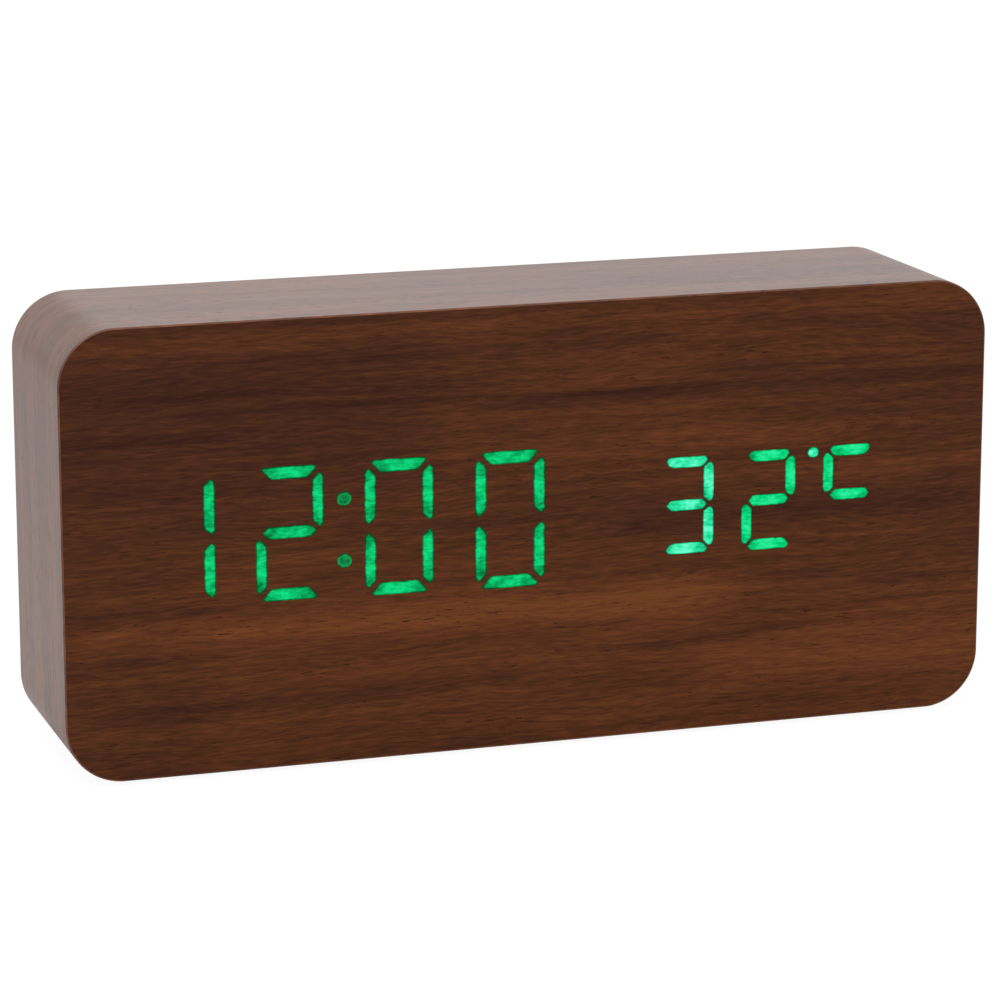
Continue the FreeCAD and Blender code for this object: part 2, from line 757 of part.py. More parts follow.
def battery_lead(x_side, cell):
    """From a terminal's tab, under the bay's floor, to the display board."""
    x0 = bay_x + x_side * (bay_w - contact_t) / 2
    x1 = x0 - x_side * battery_lead_shift
    y0 = bay_bottom_y - tab_l
    y1 = board_back_y
    middle = (y0 + y1) / 2
    z = cell_z(cell)
    bend = min(y0 - y1, battery_lead_shift) * 0.45
    points = [Vector(x0, y0, z), Vector(x0, middle, z), Vector(x1, middle, z), Vector(x1, y1, z)]
    return wire(points, bend, battery_lead_r)


def save_all():
    bars_time = time_bars(wood_front_y, wood_front_y + segment_depth, 0)
    bars_temperature = temperature_bars(wood_front_y, wood_front_y + segment_depth, 0)
    wells_time = time_bars(wood_front_y - 1, cavity_front_y + 1, segment_gap)
    wells_temperature = temperature_bars(wood_front_y - 1, cavity_front_y + 1, segment_gap)
    save("case_body", case_body())
    save("front_film", rounded(case_w, case_h, corner_r, front_y, wood_front_y))
    save("side_film", side_film())
    save("foot_pads", foot_pads())
    save("time_display_housing", housing(time_window(), wells_time))
    save("temperature_display_housing", housing(temperature_window(), wells_temperature))
    save("time_segments", bars_time)
    save("temperature_segments", bars_temperature)
    save("led_chips", led_chips())
    save("display_board", display_board())
    save("display_board_screws", [screw(x, z, board_back_y, board_screw, 1) for x, z in board_screw_places()])
    save("clock_chip", chip(chip_x, chip_low_z, 18.0, 7.6, 2.4, 14, 1.27))
    save("driver_chip", chip(driver_x, driver_z, 13.0, 7.6, 2.4, 10, 1.27))
    save("digit_transistors", digit_transistors())
    save("chip_resistors", chip_resistors())
    save("chip_capacitors", chip_capacitors())
    save("timing_crystal", timing_crystal())
    save("smoothing_capacitor", smoothing_capacitor())
    save("buzzer", buzzer())
    save("rear_cover", rear_cover())
    save("rear_cover_screws", [screw(x, z, cover_out_y, cover_screw, 1) for x, z in cover_screw_places()])
    save("battery_door", battery_door())
    for i in range(cell_count):
        save("battery_cell_%d" % (i + 1), battery_cell(i))
    save("battery_contact_plates", battery_contact_plates())
    save("battery_springs", battery_springs())
    save("button_board", button_board())
    save("button_board_screws", [screw(x, z, button_board_y0, post_screw, -1) for x, z in post_places()])
    for name, x in zip(button_names, button_x):
        save(name + "_button", button(x))
        save(name + "_switch", switch(x))
        save(name + "_switch_plunger", switch_plunger(x))
    save("power_socket_shell", power_socket_shell())
    save("power_socket_tongue", power_socket_tongue())
    save("thermistor", thermistor())
    save("display_board_header", header(header_x, board_back_y, board_back_y + header_h))
    save("button_board_header", header(header_x + header_shift, button_board_y0 - header_h, button_board_y0))
    save("link_cable", link_cable())
    save("battery_lead_red", battery_lead(*terminals[0]))
    save("battery_lead_black", battery_lead(*terminals[1]))


os.makedirs("parts", exist_ok=True)
save_all()
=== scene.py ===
import math

import bmesh
import bpy
from mathutils import Matrix, Vector


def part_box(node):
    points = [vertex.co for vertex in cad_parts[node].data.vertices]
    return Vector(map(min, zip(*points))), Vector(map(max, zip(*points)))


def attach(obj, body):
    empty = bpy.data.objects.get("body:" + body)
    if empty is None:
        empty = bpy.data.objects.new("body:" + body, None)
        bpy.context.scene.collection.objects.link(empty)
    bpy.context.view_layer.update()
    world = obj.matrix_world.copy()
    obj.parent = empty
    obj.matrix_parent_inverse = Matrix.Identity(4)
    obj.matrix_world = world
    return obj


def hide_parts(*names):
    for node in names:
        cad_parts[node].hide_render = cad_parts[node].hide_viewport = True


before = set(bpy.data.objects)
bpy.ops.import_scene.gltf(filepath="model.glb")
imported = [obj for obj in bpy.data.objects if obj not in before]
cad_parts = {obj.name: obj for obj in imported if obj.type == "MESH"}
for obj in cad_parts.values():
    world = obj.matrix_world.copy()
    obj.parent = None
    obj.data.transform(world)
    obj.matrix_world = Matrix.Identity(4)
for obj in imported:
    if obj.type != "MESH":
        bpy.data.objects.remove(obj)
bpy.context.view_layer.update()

MM = 0.001

# ---- sizes, from the frame -------------------------------------------------------
film_low, film_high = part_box("front_film")
band_low, band_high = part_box("side_film")
door_low, door_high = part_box("battery_door")
cover_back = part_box("rear_cover")[1].y
case_low_z = band_low.z
case_w = film_high.x - film_low.x
case_h = film_high.z - film_low.z
middle_z = (film_low.z + film_high.z) / 2
corner_r = 9 * MM
film_t = 0.3 * MM

# ---- digits ------------------------------------------------------------------------
digits_z = middle_z + 1.75 * MM
colon_x = -31.16 * MM
colon_rise = 4.85 * MM
colon_r = 1.15 * MM
degree_x = 45.8 * MM
degree_rise = 6.85 * MM
degree_r = 0.92 * MM
glow_stand = 0.03 * MM      # how far the film lies behind the lit spots


# ---- materials -----------------------------------------------------------------------
def linear(hex_colour, alpha=1.0):
    """An sRGB hex colour as the linear colour that shaders take."""
    parts = [int(hex_colour[i:i + 2], 16) / 255 for i in (1, 3, 5)]
    return tuple(p / 12.92 if p <= 0.04045 else ((p + 0.055) / 1.055) ** 2.4 for p in parts) + (alpha,)


def add(tree, kind, inputs=None, stops=None, **settings):
    """A node with its settings, its input values or links, and a ramp's stops."""
    made = tree.nodes.new("ShaderNode" + kind)
    for name, value in settings.items():
        setattr(made, name, value)
    for name, value in (inputs or {}).items():
        if isinstance(value, bpy.types.NodeSocket):
            tree.links.new(value, made.inputs[name])
        else:
            made.inputs[name].default_value = value
    if stops:
        ramp = made.color_ramp
        while len(ramp.elements) < len(stops):
            ramp.elements.new(0.5)
        for element, (place, colour) in zip(ramp.elements, stops):
            element.position = place
            element.color = linear(colour) if isinstance(colour, str) else (colour, colour, colour, 1)
    return made


def surface(name, colour, roughness, **sockets):
    """A new material with one Principled shader, and its values."""
    material = bpy.data.materials.new(name)
    material.use_nodes = True
    tree = material.node_tree
    shader = tree.nodes["Principled BSDF"]
    shader.inputs["Base Color"].default_value = linear(colour)
    shader.inputs["Roughness"].default_value = roughness
    for socket, value in sockets.items():
        shader.inputs[socket.replace("_", " ")].default_value = value
    return material, tree, shader


def link(tree, source, shader, socket):
    tree.links.new(source, shader.inputs[socket])


def bump(tree, shader, height, depth, strength=1.0):
    """Relief of a real depth, in metres, from a height of 0 to 1."""
    made = add(tree, "Bump", {"Height": height, "Distance": depth, "Strength": strength})
    link(tree, made.outputs["Normal"], shader, "Normal")


def speckle(tree, size, detail=2.0, coordinate="Object", stretch=(1, 1, 1), **settings):
    """Noise whose blobs are about size metres across, times stretch."""
    place = add(tree, "TexCoord").outputs[coordinate]
    scale = tuple(1 / (size * s) for s in stretch)
    mapped = add(tree, "Mapping", {"Vector": place, "Scale": scale})
    inputs = {"Vector": mapped.outputs["Vector"], "Scale": 1.0, "Detail": detail}
    inputs.update(settings)
    return add(tree, "TexNoise", inputs).outputs["Fac"]


# The streaks and broad washes drawn over the sheet: height over the middle of the case and
# width (mm), rise per mm to the right, from and to along the sheet (mm), and how much
# lighter (+) or darker (-) it is there.
FIGURE = (
    # the first two are broad washes: lighter over the lower part of the front, darker over its upper left
    (-22.0, 38.0, 0.000, -60, 110, 0.40),
    (20.0, 30.0, 0.000, -110, -10, -0.35),
    (19.5, 1.6, 0.010, -15, 90, -0.55),
    (18.0, 1.2, 0.004, -90, -40, -0.40),
    (12.0, 5.0, 0.012, -10, 60, 0.25),
    (-1.0, 4.5, 0.020, 5, 78, -0.45),
    (-13.0, 4.0, 0.000, -80, 38, 0.75),
    (-21.6, 1.4, 0.045, 8, 50, -0.75),
    (-23.5, 2.6, 0.020, -78, 5, -0.45),
    (-25.0, 6.0, 0.015, 20, 85, 0.60),
    (27.0, 3.0, 0.000, -80, -20, -0.15),
    (32.0, 3.0, 0.000, -90, 90, 0.35),
    (28.5, 0.9, 0.012, -40, 30, -0.35),
    (24.0, 0.9, 0.000, -75, -30, -0.50),
    (21.5, 0.8, 0.010, -65, -10, -0.45),
    (17.0, 1.0, 0.000, -78, -45, -0.60),
    (20.3, 0.8, 0.015, -5, 40, -0.60),
    (22.5, 0.7, 0.010, 20, 70, -0.40),
    (-9.0, 0.9, 0.000, -80, -45, -0.30),
    (-17.5, 0.8, 0.020, 20, 75, -0.35),
)
# the same for the strip: offset from the middle of its width, and millimetres along the strip
STRIP_FIGURE = (
    (9.0, 5.0, 0.004, -20, 460, 0.16),
    (-3.0, 6.0, -0.004, -20, 460, -0.20),
    (-12.0, 3.0, 0.000, -20, 460, 0.12),
)


def streak(tree, along, across, height, width, rise, start, end, tone):
    """One soft-edged streak of the figure, as tone in its middle and 0 outside."""
    tilt = add(tree, "Math", {0: along, 1: -rise, 2: across}, operation="MULTIPLY_ADD").outputs[0]
    off = add(tree, "Math", {0: tilt, 1: height * MM}, operation="SUBTRACT").outputs[0]
    off = add(tree, "Math", {0: off}, operation="ABSOLUTE").outputs[0]
    body = add(tree, "MapRange", {"Value": off, "From Min": 0.0, "From Max": width * MM,
                                  "To Min": tone, "To Max": 0.0}, interpolation_type="SMOOTHSTEP")
    fade = 14 * MM
    enter = add(tree, "MapRange", {"Value": along, "From Min": start * MM, "From Max": start * MM + fade},
                interpolation_type="SMOOTHSTEP")
    leave = add(tree, "MapRange", {"Value": along, "From Min": end * MM - fade, "From Max": end * MM,
                                   "To Min": 1.0, "To Max": 0.0}, interpolation_type="SMOOTHSTEP")
    ends = add(tree, "Math", {0: enter.outputs[0], 1: leave.outputs[0]}, operation="MULTIPLY").outputs[0]
    return add(tree, "Math", {0: body.outputs[0], 1: ends}, operation="MULTIPLY").outputs[0]


def walnut_grain(tree, along, across, figure):
    """The printed walnut: (tone, pores), both 0 to 1, from metres along and across the grain."""
    def stretched(length, width, detail, distortion=0.0, seed=0.0):
        x = add(tree, "Math", {0: along, 1: 1 / length}, operation="MULTIPLY").outputs[0]
        y = add(tree, "Math", {0: wavy, 1: 1 / width}, operation="MULTIPLY").outputs[0]
        place = add(tree, "CombineXYZ", {"X": x, "Y": y, "Z": seed}).outputs[0]
        return add(tree, "TexNoise", {"Vector": place, "Scale": 1.0, "Detail": detail,
                                      "Distortion": distortion}).outputs["Fac"]

    # the lines wander by about a millimetre over a few centimetres
    slow_x = add(tree, "Math", {0: along, 1: 1 / (38 * MM)}, operation="MULTIPLY").outputs[0]
    slow_y = add(tree, "Math", {0: across, 1: 1 / (16 * MM)}, operation="MULTIPLY").outputs[0]
    slow = add(tree, "CombineXYZ", {"X": slow_x, "Y": slow_y}).outputs[0]
    drift = add(tree, "TexNoise", {"Vector": slow, "Scale": 1.0, "Detail": 2.0}).outputs["Fac"]
    wavy = add(tree, "Math", {0: drift, 1: 3.5 * MM, 2: across}, operation="MULTIPLY_ADD").outputs[0]

    broad = stretched(70 * MM, 6 * MM, 2.0, 0.2, 1.7)
    lines = stretched(26 * MM, 1.1 * MM, 2.0, 0.2, 4.1)
    fibres = stretched(3.0 * MM, 0.30 * MM, 2.0, 0.2, 9.3)
    tone = None
    for source, share in ((broad, 0.34), (lines, 0.34), (fibres, 0.56)):
        centred = add(tree, "Math", {0: source, 1: 0.5}, operation="SUBTRACT").outputs[0]
        tone = add(tree, "Math", {0: centred, 1: share, 2: 0.5 if tone is None else tone},
                   operation="MULTIPLY_ADD").outputs[0]
    for parts in figure:
        mark = streak(tree, along, across, *parts)
        tone = add(tree, "Math", {0: mark, 1: 0.26, 2: tone}, operation="MULTIPLY_ADD").outputs[0]

    # pores are short dark dashes, about a quarter of a millimetre wide
    dashes = stretched(2.4 * MM, 0.24 * MM, 1.0, 0.5, 15.9)
    crowd = stretched(20 * MM, 3.0 * MM, 1.0, 0.0, 22.4)
    limit = add(tree, "MapRange", {"Value": crowd, "From Min": 0.35, "From Max": 0.7,
                                   "To Min": 0.72, "To Max": 0.63}).outputs[0]
    past = add(tree, "Math", {0: dashes, 1: limit}, operation="SUBTRACT").outputs[0]
    pores = add(tree, "MapRange", {"Value": past, "From Min": 0.0, "From Max": 0.06},
                interpolation_type="SMOOTHSTEP").outputs[0]
    return tone, pores


def grain_axes(tree, source):
    """(along, across) in metres: the front is read in place, the band by its own map."""
    coordinates = add(tree, "TexCoord")
    if source == "front":
        parts = add(tree, "SeparateXYZ", {0: coordinates.outputs["Object"]})
        lift = add(tree, "Math", {0: parts.outputs["Z"], 1: middle_z}, operation="SUBTRACT")
        return parts.outputs["X"], lift.outputs[0]
    parts = add(tree, "SeparateXYZ", {0: coordinates.outputs["UV"]})
    return parts.outputs["X"], parts.outputs["Y"]


def walnut_film(name, source, figure, roughness, ior, browns):
    """Printed PVC film with a walnut figure: a dull, reddish brown sheet with fine dark pores."""
    material, tree, shader = surface(name, "#4b2b1c", roughness, IOR=ior)
    along, across = grain_axes(tree, source)
    tone, pores = walnut_grain(tree, along, across, figure)
    colour = add(tree, "ValToRGB", {0: tone}, stops=tuple(zip((0.22, 0.40, 0.52, 0.66, 0.85), browns)))
    dark = add(tree, "Mix", {0: pores, 6: colour.outputs[0], 7: linear("#331c12")}, data_type="RGBA")
    link(tree, dark.outputs[2], shader, "Base Color")
    dull = add(tree, "MapRange", {"Value": pores, "To Min": roughness, "To Max": roughness + 0.12})
    link(tree, dull.outputs[0], shader, "Roughness")
    relief = add(tree, "Math", {0: pores, 1: -1.0, 2: tone}, operation="MULTIPLY_ADD").outputs[0]
    bump(tree, shader, relief, 0.03 * MM, 0.5)
    return material


def lit_film(name, shades):
    """The film where a segment shines through: green light, streaked by the film's own fibres."""
    material, tree, shader = surface(name, "#030a05", 0.6, IOR=1.04)
    along, across = grain_axes(tree, "front")
    level = 0.5
    for wide, tall, seed, share in ((1.1, 0.30, 3.3, 0.55), (0.8, 0.7, 14.2, 0.50), (2.6, 1.7, 8.8, 0.80)):
        x = add(tree, "Math", {0: along, 1: 1 / (wide * MM)}, operation="MULTIPLY").outputs[0]
        y = add(tree, "Math", {0: across, 1: 1 / (tall * MM)}, operation="MULTIPLY").outputs[0]
        place = add(tree, "CombineXYZ", {"X": x, "Y": y, "Z": seed}).outputs[0]
        blobs = add(tree, "TexNoise", {"Vector": place, "Scale": 1.0, "Detail": 1.5}).outputs["Fac"]
        centred = add(tree, "Math", {0: blobs, 1: 0.5}, operation="SUBTRACT").outputs[0]
        level = add(tree, "Math", {0: centred, 1: share, 2: level}, operation="MULTIPLY_ADD").outputs[0]
    # dimmer at the rim, and towards both ends of the segment
    rim = add(tree, "Attribute", attribute_name="glow").outputs["Fac"]
    rim = add(tree, "MapRange", {"Value": rim, "To Min": -0.42, "To Max": 0.10},
              interpolation_type="SMOOTHSTEP").outputs[0]
    reach = add(tree, "Attribute", attribute_name="reach").outputs["Fac"]
    reach = add(tree, "Math", {0: reach}, operation="ABSOLUTE").outputs[0]
    reach = add(tree, "MapRange", {"Value": reach, "From Min": 0.25, "To Min": 0.06, "To Max": -0.20}).outputs[0]
    ends = add(tree, "Math", {0: rim, 1: reach}, operation="ADD").outputs[0]
    level = add(tree, "Math", {0: level, 1: ends}, operation="ADD").outputs[0]
    stops = tuple(zip((0.02, 0.30, 0.55, 0.80), shades))
    colour = add(tree, "ValToRGB", {0: level}, stops=stops)
    link(tree, colour.outputs[0], shader, "Emission Color")
    shader.inputs["Emission Strength"].default_value = 1.0
    return material


def fibreboard():
    """MDF, routed and left bare: pale tan with fine fibre flecks."""
    material, tree, shader = surface("raw MDF", "#a98a66", 0.85, IOR=1.4)
    flecks = speckle(tree, 0.45 * MM, 4.0)
    clouds = speckle(tree, 6 * MM)
    both = add(tree, "Math", {0: clouds, 1: 0.22, 2: flecks}, operation="MULTIPLY_ADD").outputs[0]
    colour = add(tree, "ValToRGB", {0: both}, stops=(
        (0.40, "#8a6d4f"), (0.60, "#a3835f"), (0.80, "#b8986f")))
    link(tree, colour.outputs[0], shader, "Base Color")
    bump(tree, shader, flecks, 0.05 * MM)
    return material


def moulded(name, colour, roughness, grit, depth, ior=1.5):
    """Injection-moulded plastic with the spark texture of its mould."""
    material, tree, shader = surface(name, colour, roughness, IOR=ior)
    grain = speckle(tree, grit, 3.0)
    shade = add(tree, "MapRange", {"Value": grain, "From Min": 0.3, "From Max": 0.7,
                                   "To Min": roughness - 0.06, "To Max": roughness + 0.10})
    link(tree, shade.outputs[0], shader, "Roughness")
    tint = speckle(tree, grit * 14)
    low = tuple(c * 0.86 for c in linear(colour)[:3]) + (1,)
    high = tuple(c * 1.12 for c in linear(colour)[:3]) + (1,)
    mixed = add(tree, "Mix", {0: tint, 6: low, 7: high}, data_type="RGBA")
    link(tree, mixed.outputs[2], shader, "Base Color")
    bump(tree, shader, grain, depth)
    return material


def metal(name, colour, roughness, grit, stretch=(1, 1, 1)):
    """Plated or bright metal with fine drawing or tumbling marks."""
    material, tree, shader = surface(name, colour, roughness, Metallic=1.0)
    marks = speckle(tree, grit, 3.0, stretch=stretch)
    shade = add(tree, "MapRange", {"Value": marks, "From Min": 0.3, "From Max": 0.7,
                                   "To Min": roughness - 0.08, "To Max": roughness + 0.12})
    link(tree, shade.outputs[0], shader, "Roughness")
    low = tuple(c * 0.82 for c in linear(colour)[:3]) + (1,)
    mixed = add(tree, "Mix", {0: marks, 6: low, 7: linear(colour)}, data_type="RGBA")
    link(tree, mixed.outputs[2], shader, "Base Color")
    bump(tree, shader, marks, 0.01 * MM)
    return material


def foam():
    """Closed-cell EVA: black, soft and finely pitted."""
    material, tree, shader = surface("EVA foam", "#1d1d1e", 0.92, IOR=1.4)
    place = add(tree, "TexCoord").outputs["Object"]
    mapped = add(tree, "Mapping", {"Vector": place, "Scale": (1 / (0.5 * MM),) * 3})
    cells = add(tree, "TexVoronoi", {"Vector": mapped.outputs[0], "Scale": 1.0}).outputs["Distance"]
    colour = add(tree, "ValToRGB", {0: cells}, stops=((0.1, "#101011"), (0.7, "#2b2b2c")))
    link(tree, colour.outputs[0], shader, "Base Color")
    bump(tree, shader, cells, 0.08 * MM)
    return material


def solder_mask():
    """Glass-epoxy board under green solder mask: copper tracks show paler through the coat."""
    material, tree, shader = surface("solder mask over copper", "#0f4a2a", 0.35, IOR=1.5)
    place = add(tree, "TexCoord").outputs["Object"]
    mapped = add(tree, "Mapping", {"Vector": place, "Scale": (1 / (1.7 * MM), 1.0, 1 / (0.9 * MM))})
    cells = add(tree, "TexVoronoi", {"Vector": mapped.outputs[0], "Scale": 1.0, "Randomness": 0.35},
                distance="CHEBYCHEV", feature="F1").outputs["Distance"]
    tracks = add(tree, "ValToRGB", {0: cells}, stops=((0.30, "#1b6e3d"), (0.36, "#0d4426")))
    link(tree, tracks.outputs[0], shader, "Base Color")
    bump(tree, shader, cells, 0.02 * MM)
    return material


def enamelled(name, colour, roughness=0.3):
    """A glossy skin, such as PVC wire cover, cast epoxy or a printed jacket."""
    material, tree, shader = surface(name, colour, roughness, IOR=1.5)
    clouds = speckle(tree, 1.4 * MM)
    low = tuple(c * 0.85 for c in linear(colour)[:3]) + (1,)
    mixed = add(tree, "Mix", {0: clouds, 6: low, 7: linear(colour)}, data_type="RGBA")
    link(tree, mixed.outputs[2], shader, "Base Color")
    shade = add(tree, "MapRange", {"Value": clouds, "To Min": roughness, "To Max": roughness + 0.15})
    link(tree, shade.outputs[0], shader, "Roughness")
    return material


# name, maker: each is the real material and the one thing that it must show
front_film = walnut_film("walnut film, front", "front", FIGURE, 0.46, 1.12,     # dull and dark, with its figure
                         ("#311a10", "#402215", "#4b2917", "#5b311a", "#6b3d1e"))
side_film = walnut_film("walnut film, sides, painted lighter", "band", STRIP_FIGURE, 0.36, 1.42,       # the same sheet with a satin sheen; its browns are painted lighter than the front's, as painted sheen on the sides and rim
                        ("#3a1e12", "#502d1c", "#663c26", "#7d4c2c", "#905d37"))
lit_time = lit_film("film over lit time", ("#00481f", "#00803f", "#06b464", "#0fdd80"))      # brushed green
lit_dots = lit_film("film over lit dots", ("#004a22", "#0a9a50", "#0d9a4f", "#0f6a3a"))         # dimmer, hollow
lit_three = lit_film("film over lit three", ("#006a3c", "#12bd7b", "#2ce9a6", "#6cffd0"))    # brightest mint
lit_two = lit_film("film over lit two", ("#005a2c", "#00a457", "#02d57c", "#2bee9b"))        # between the two
mdf = fibreboard()
cover_black = moulded("ABS, spark-textured", "#1b1c1e", 0.55, 0.30 * MM, 0.03 * MM)     # grainy matt black
cap_black = moulded("ABS, fine matt", "#26282b", 0.42, 0.16 * MM, 0.01 * MM)            # smoother than the cover
reflector = moulded("white PBT", "#e7e6e0", 0.5, 0.25 * MM, 0.01 * MM)                 # chalky white
diffuser = moulded("cast diffuser epoxy", "#d9dcd8", 0.6, 0.2 * MM, 0.01 * MM)         # milky
nylon = moulded("white nylon", "#dedcd2", 0.45, 0.3 * MM, 0.01 * MM)                   # ivory, a little waxy
ink = moulded("white pad-print ink", "#c9cbc9", 0.6, 0.12 * MM, 0.004 * MM)            # thin, not quite opaque
black_zinc = metal("steel, black zinc", "#3a3a3d", 0.38, 0.2 * MM)                     # dark, glinting edges
tin = metal("tinned brass", "#b9b8b2", 0.34, 0.25 * MM, (3, 1, 1))                     # bright, drawn lines
nickel = metal("nickel-plated spring steel", "#c3bfb4", 0.28, 0.18 * MM, (4, 1, 1))    # warm bright metal
can = metal("anodised aluminium can", "#8d9196", 0.36, 0.2 * MM, (1, 1, 5))            # brushed grey
board = solder_mask()
chip = enamelled("moulded epoxy", "#151516", 0.55)                                     # flat black
ceramic = enamelled("multilayer ceramic", "#8a6a48", 0.5)                              # tan
lens = enamelled("clear lens epoxy", "#cfe0cc", 0.15)                                  # glassy, pale
jacket = enamelled("zinc cell jacket", "#23415f", 0.32)                                # printed sleeve, glossy
jacket_band = enamelled("zinc cell jacket, upper band", "#c7c9cb", 0.32)               # paler band at the plus end
red_pvc = enamelled("PVC, red", "#a5201c", 0.38)
black_pvc = enamelled("PVC, black", "#18181a", 0.38)
grey_pvc = enamelled("PVC, grey", "#7f8286", 0.42)
glass = enamelled("glass bead", "#2a2420", 0.15)                                       # dark and shiny
pads = foam()


# ---- helpers for pieces ---------------------------------------------------------------
def piece(name, mesh, body, materials, covers=()):
    """A mesh shown as one piece of the object, in the row frame, riding on a body."""
    made = bpy.data.objects.new(name, mesh)
    bpy.context.scene.collection.objects.link(made)
    for material in materials:
        mesh.materials.append(material)
    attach(made, body)
    if covers:
        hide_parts(*covers)
    return made


def mesh_from(bm, name):
    bmesh.ops.recalc_face_normals(bm, faces=bm.faces)
    mesh = bpy.data.meshes.new(name)
    bm.to_mesh(mesh)
    bm.free()
    return mesh


def shade(mesh, degrees):
    """Smooth, with edges sharper than so many degrees kept."""
    for polygon in mesh.polygons:
        polygon.use_smooth = True
    mesh.set_sharp_from_angle(angle=math.radians(degrees))


def rounded_outline(width, height, radius, steps):
    """Points of a rounded rectangle about the origin, anticlockwise."""
    points = []
    for turn, (sx, sz) in enumerate(((1, 1), (-1, 1), (-1, -1), (1, -1))):
        for step in range(steps + 1):
            angle = math.radians(90 * turn + 90 * step / steps)
            points.append((sx * (width / 2 - radius) + radius * math.cos(angle),
                           sz * (height / 2 - radius) + radius * math.sin(angle)))
    return points


def plate(outline, y_front, y_back):
    """A closed slab of an outline of (x, z) points, between two depths. Its front face is first."""
    bm = bmesh.new()
    front = [bm.verts.new((x, y_front, z)) for x, z in outline]
    back = [bm.verts.new((x, y_back, z)) for x, z in outline]
    bm.faces.new(front)
    bm.faces.new(list(reversed(back)))
    for i in range(len(front)):
        j = (i + 1) % len(front)
        bm.faces.new((front[i], back[i], back[j], front[j]))
    bmesh.ops.recalc_face_normals(bm, faces=bm.faces)
    return bm


def bevelled(bm, edges, width, segments):
    """Rounds some edges; material -1 keeps the material of the faces beside them."""
    bmesh.ops.bevel(bm, geom=edges, offset=width, offset_type="OFFSET", segments=segments,
                    profile=0.5, affect="EDGES", clamp_overlap=True, material=-1)


def softened(node, body, material, width=0.0, angle=30, segments=2):
    """The CAD node as shown: its own mesh, with the sharp edges eased by a few hundredths of a mm."""
    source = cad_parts[node].data
    bm = bmesh.new()
    bm.from_mesh(source)
    bmesh.ops.remove_doubles(bm, verts=bm.verts, dist=0.002 * MM)
    bmesh.ops.dissolve_limit(bm, angle_limit=math.radians(1.0), verts=bm.verts, edges=bm.edges)
    made = piece("look_" + node, mesh_from(bm, node + "_look"), body, [material], [node])
    if width:
        ease = made.modifiers.new("eased edges", "BEVEL")
        ease.width = width
        ease.segments = segments
        ease.limit_method = "ANGLE"
        ease.angle_limit = math.radians(angle)
        ease.harden_normals = True
    shade(made.data, 30)
    return made


# ---- front sheet -------------------------------------------------------------------------
def strip_map(bm, outline, kinds):
    """Gives faces of some material numbers the strip's map: metres round the outline, and depth."""
    uv = bm.loops.layers.uv.get("strip") or bm.loops.layers.uv.new("strip")
    travel = [0.0]
    for i in range(len(outline)):
        travel.append(travel[-1] + math.dist(outline[i], outline[(i + 1) % len(outline)]))

    def nearest(co):
        return min(range(len(outline)), key=lambda i: math.dist(outline[i], (co.x, co.z - middle_z)))

    for face in bm.faces:
        if face.material_index not in kinds:
            continue
        found = [nearest(loop.vert.co) for loop in face.loops]
        wraps = max(found) - min(found) > len(outline) / 2
        for loop, i in zip(face.loops, found):
            loop[uv].uv = (travel[-1 if wraps and i == 0 else i], loop.vert.co.y)


def strip_outline(inset):
    """The case's outline less an inset, from the middle of the bottom edge, where the strip is joined."""
    ring = rounded_outline(case_w - 2 * inset, case_h - 2 * inset, corner_r - inset, 24)
    join = next(i for i, (x, z) in enumerate(ring) if x > 0 and abs(z + case_h / 2 - inset) < 1e-9)
    return [(0.0, -case_h / 2 + inset)] + ring[join:] + ring[:join]


def front_sheet():
    """The film over the front. The strip round the sides is folded over its softly rounded rim."""
    outline = strip_outline(0.0)
    bm = plate(outline, film_low.y + glow_stand, film_high.y)
    bmesh.ops.translate(bm, verts=bm.verts, vec=(0, 0, middle_z))
    rim = [e for e in bm.edges if all(abs(v.co.y - film_low.y - glow_stand) < 1e-7 for v in e.verts)]
    bevelled(bm, rim, 0.26 * MM, 4)
    for face in bm.faces:
        # the rounded rim and edge take the sides' film, whose browns are painted lighter as painted sheen
        face.material_index = 0 if abs(face.normal.y) > 0.999 else 1
    strip_map(bm, outline, (1,))
    made = piece("front_sheet", mesh_from(bm, "front_sheet"), "case",
                 [front_film, side_film], ["front_film"])
    shade(made.data, 40)
    return made


def side_band():
    """The film wrapped round the four sides in one strip, joined in the middle of the bottom."""
    outer, inner = strip_outline(0.0), strip_outline(film_t)
    front_y, back_y = film_high.y, band_high.y
    bm = bmesh.new()
    rows = [[bm.verts.new((x, y, z + middle_z)) for x, z in ring]
            for ring, y in ((outer, front_y), (outer, back_y), (inner, back_y), (inner, front_y))]
    for r in range(4):
        for i in range(len(outer)):
            j = (i + 1) % len(outer)
            near, far = rows[r], rows[(r + 1) % 4]
            bm.faces.new((near[i], near[j], far[j], far[i]))
    strip_map(bm, outer, (0,))
    made = piece("side_band", mesh_from(bm, "side_band"), "case", [side_film], ["side_film"])
    shade(made.data, 40)
    return made


# ---- lit segments ---------------------------------------------------------------------------
# Outlines on a digit's own grid in mm: u from its left edge, v from its bottom edge.
TIME_PARTS = {
    "a": ((1.0, 21.2), (1.5, 21.6), (9.6, 21.6), (10.1, 21.2), (8.6, 19.55), (2.5, 19.55)),
    "b": ((9.3, 19.2), (10.47, 20.4), (11.1, 19.8), (11.1, 12.0), (10.47, 11.4), (9.3, 12.6)),
    "g": ((1.0, 11.0), (2.1, 12.0), (9.0, 12.0), (10.1, 11.0), (9.0, 10.0), (2.1, 10.0)),
}
TEMP_PARTS = {
    "a": ((1.1, 15.4), (1.5, 16.0), (1.9, 16.1), (7.3, 16.1), (7.8, 16.0), (8.1, 15.4), (7.5, 14.6),
          (6.9, 14.3), (2.3, 14.3), (1.6, 14.6)),
    "b": ((7.35, 14.2), (8.2, 15.0), (8.8, 14.9), (9.1, 14.2), (9.1, 9.3), (8.8, 8.6), (8.2, 8.5), (7.35, 9.3)),
    "g": ((1.1, 8.1), (1.9, 8.95), (2.4, 9.0), (6.7, 9.0), (7.3, 8.95), (8.0, 8.1), (7.3, 7.25), (6.7, 7.2),
          (2.4, 7.2), (1.9, 7.25)),
}


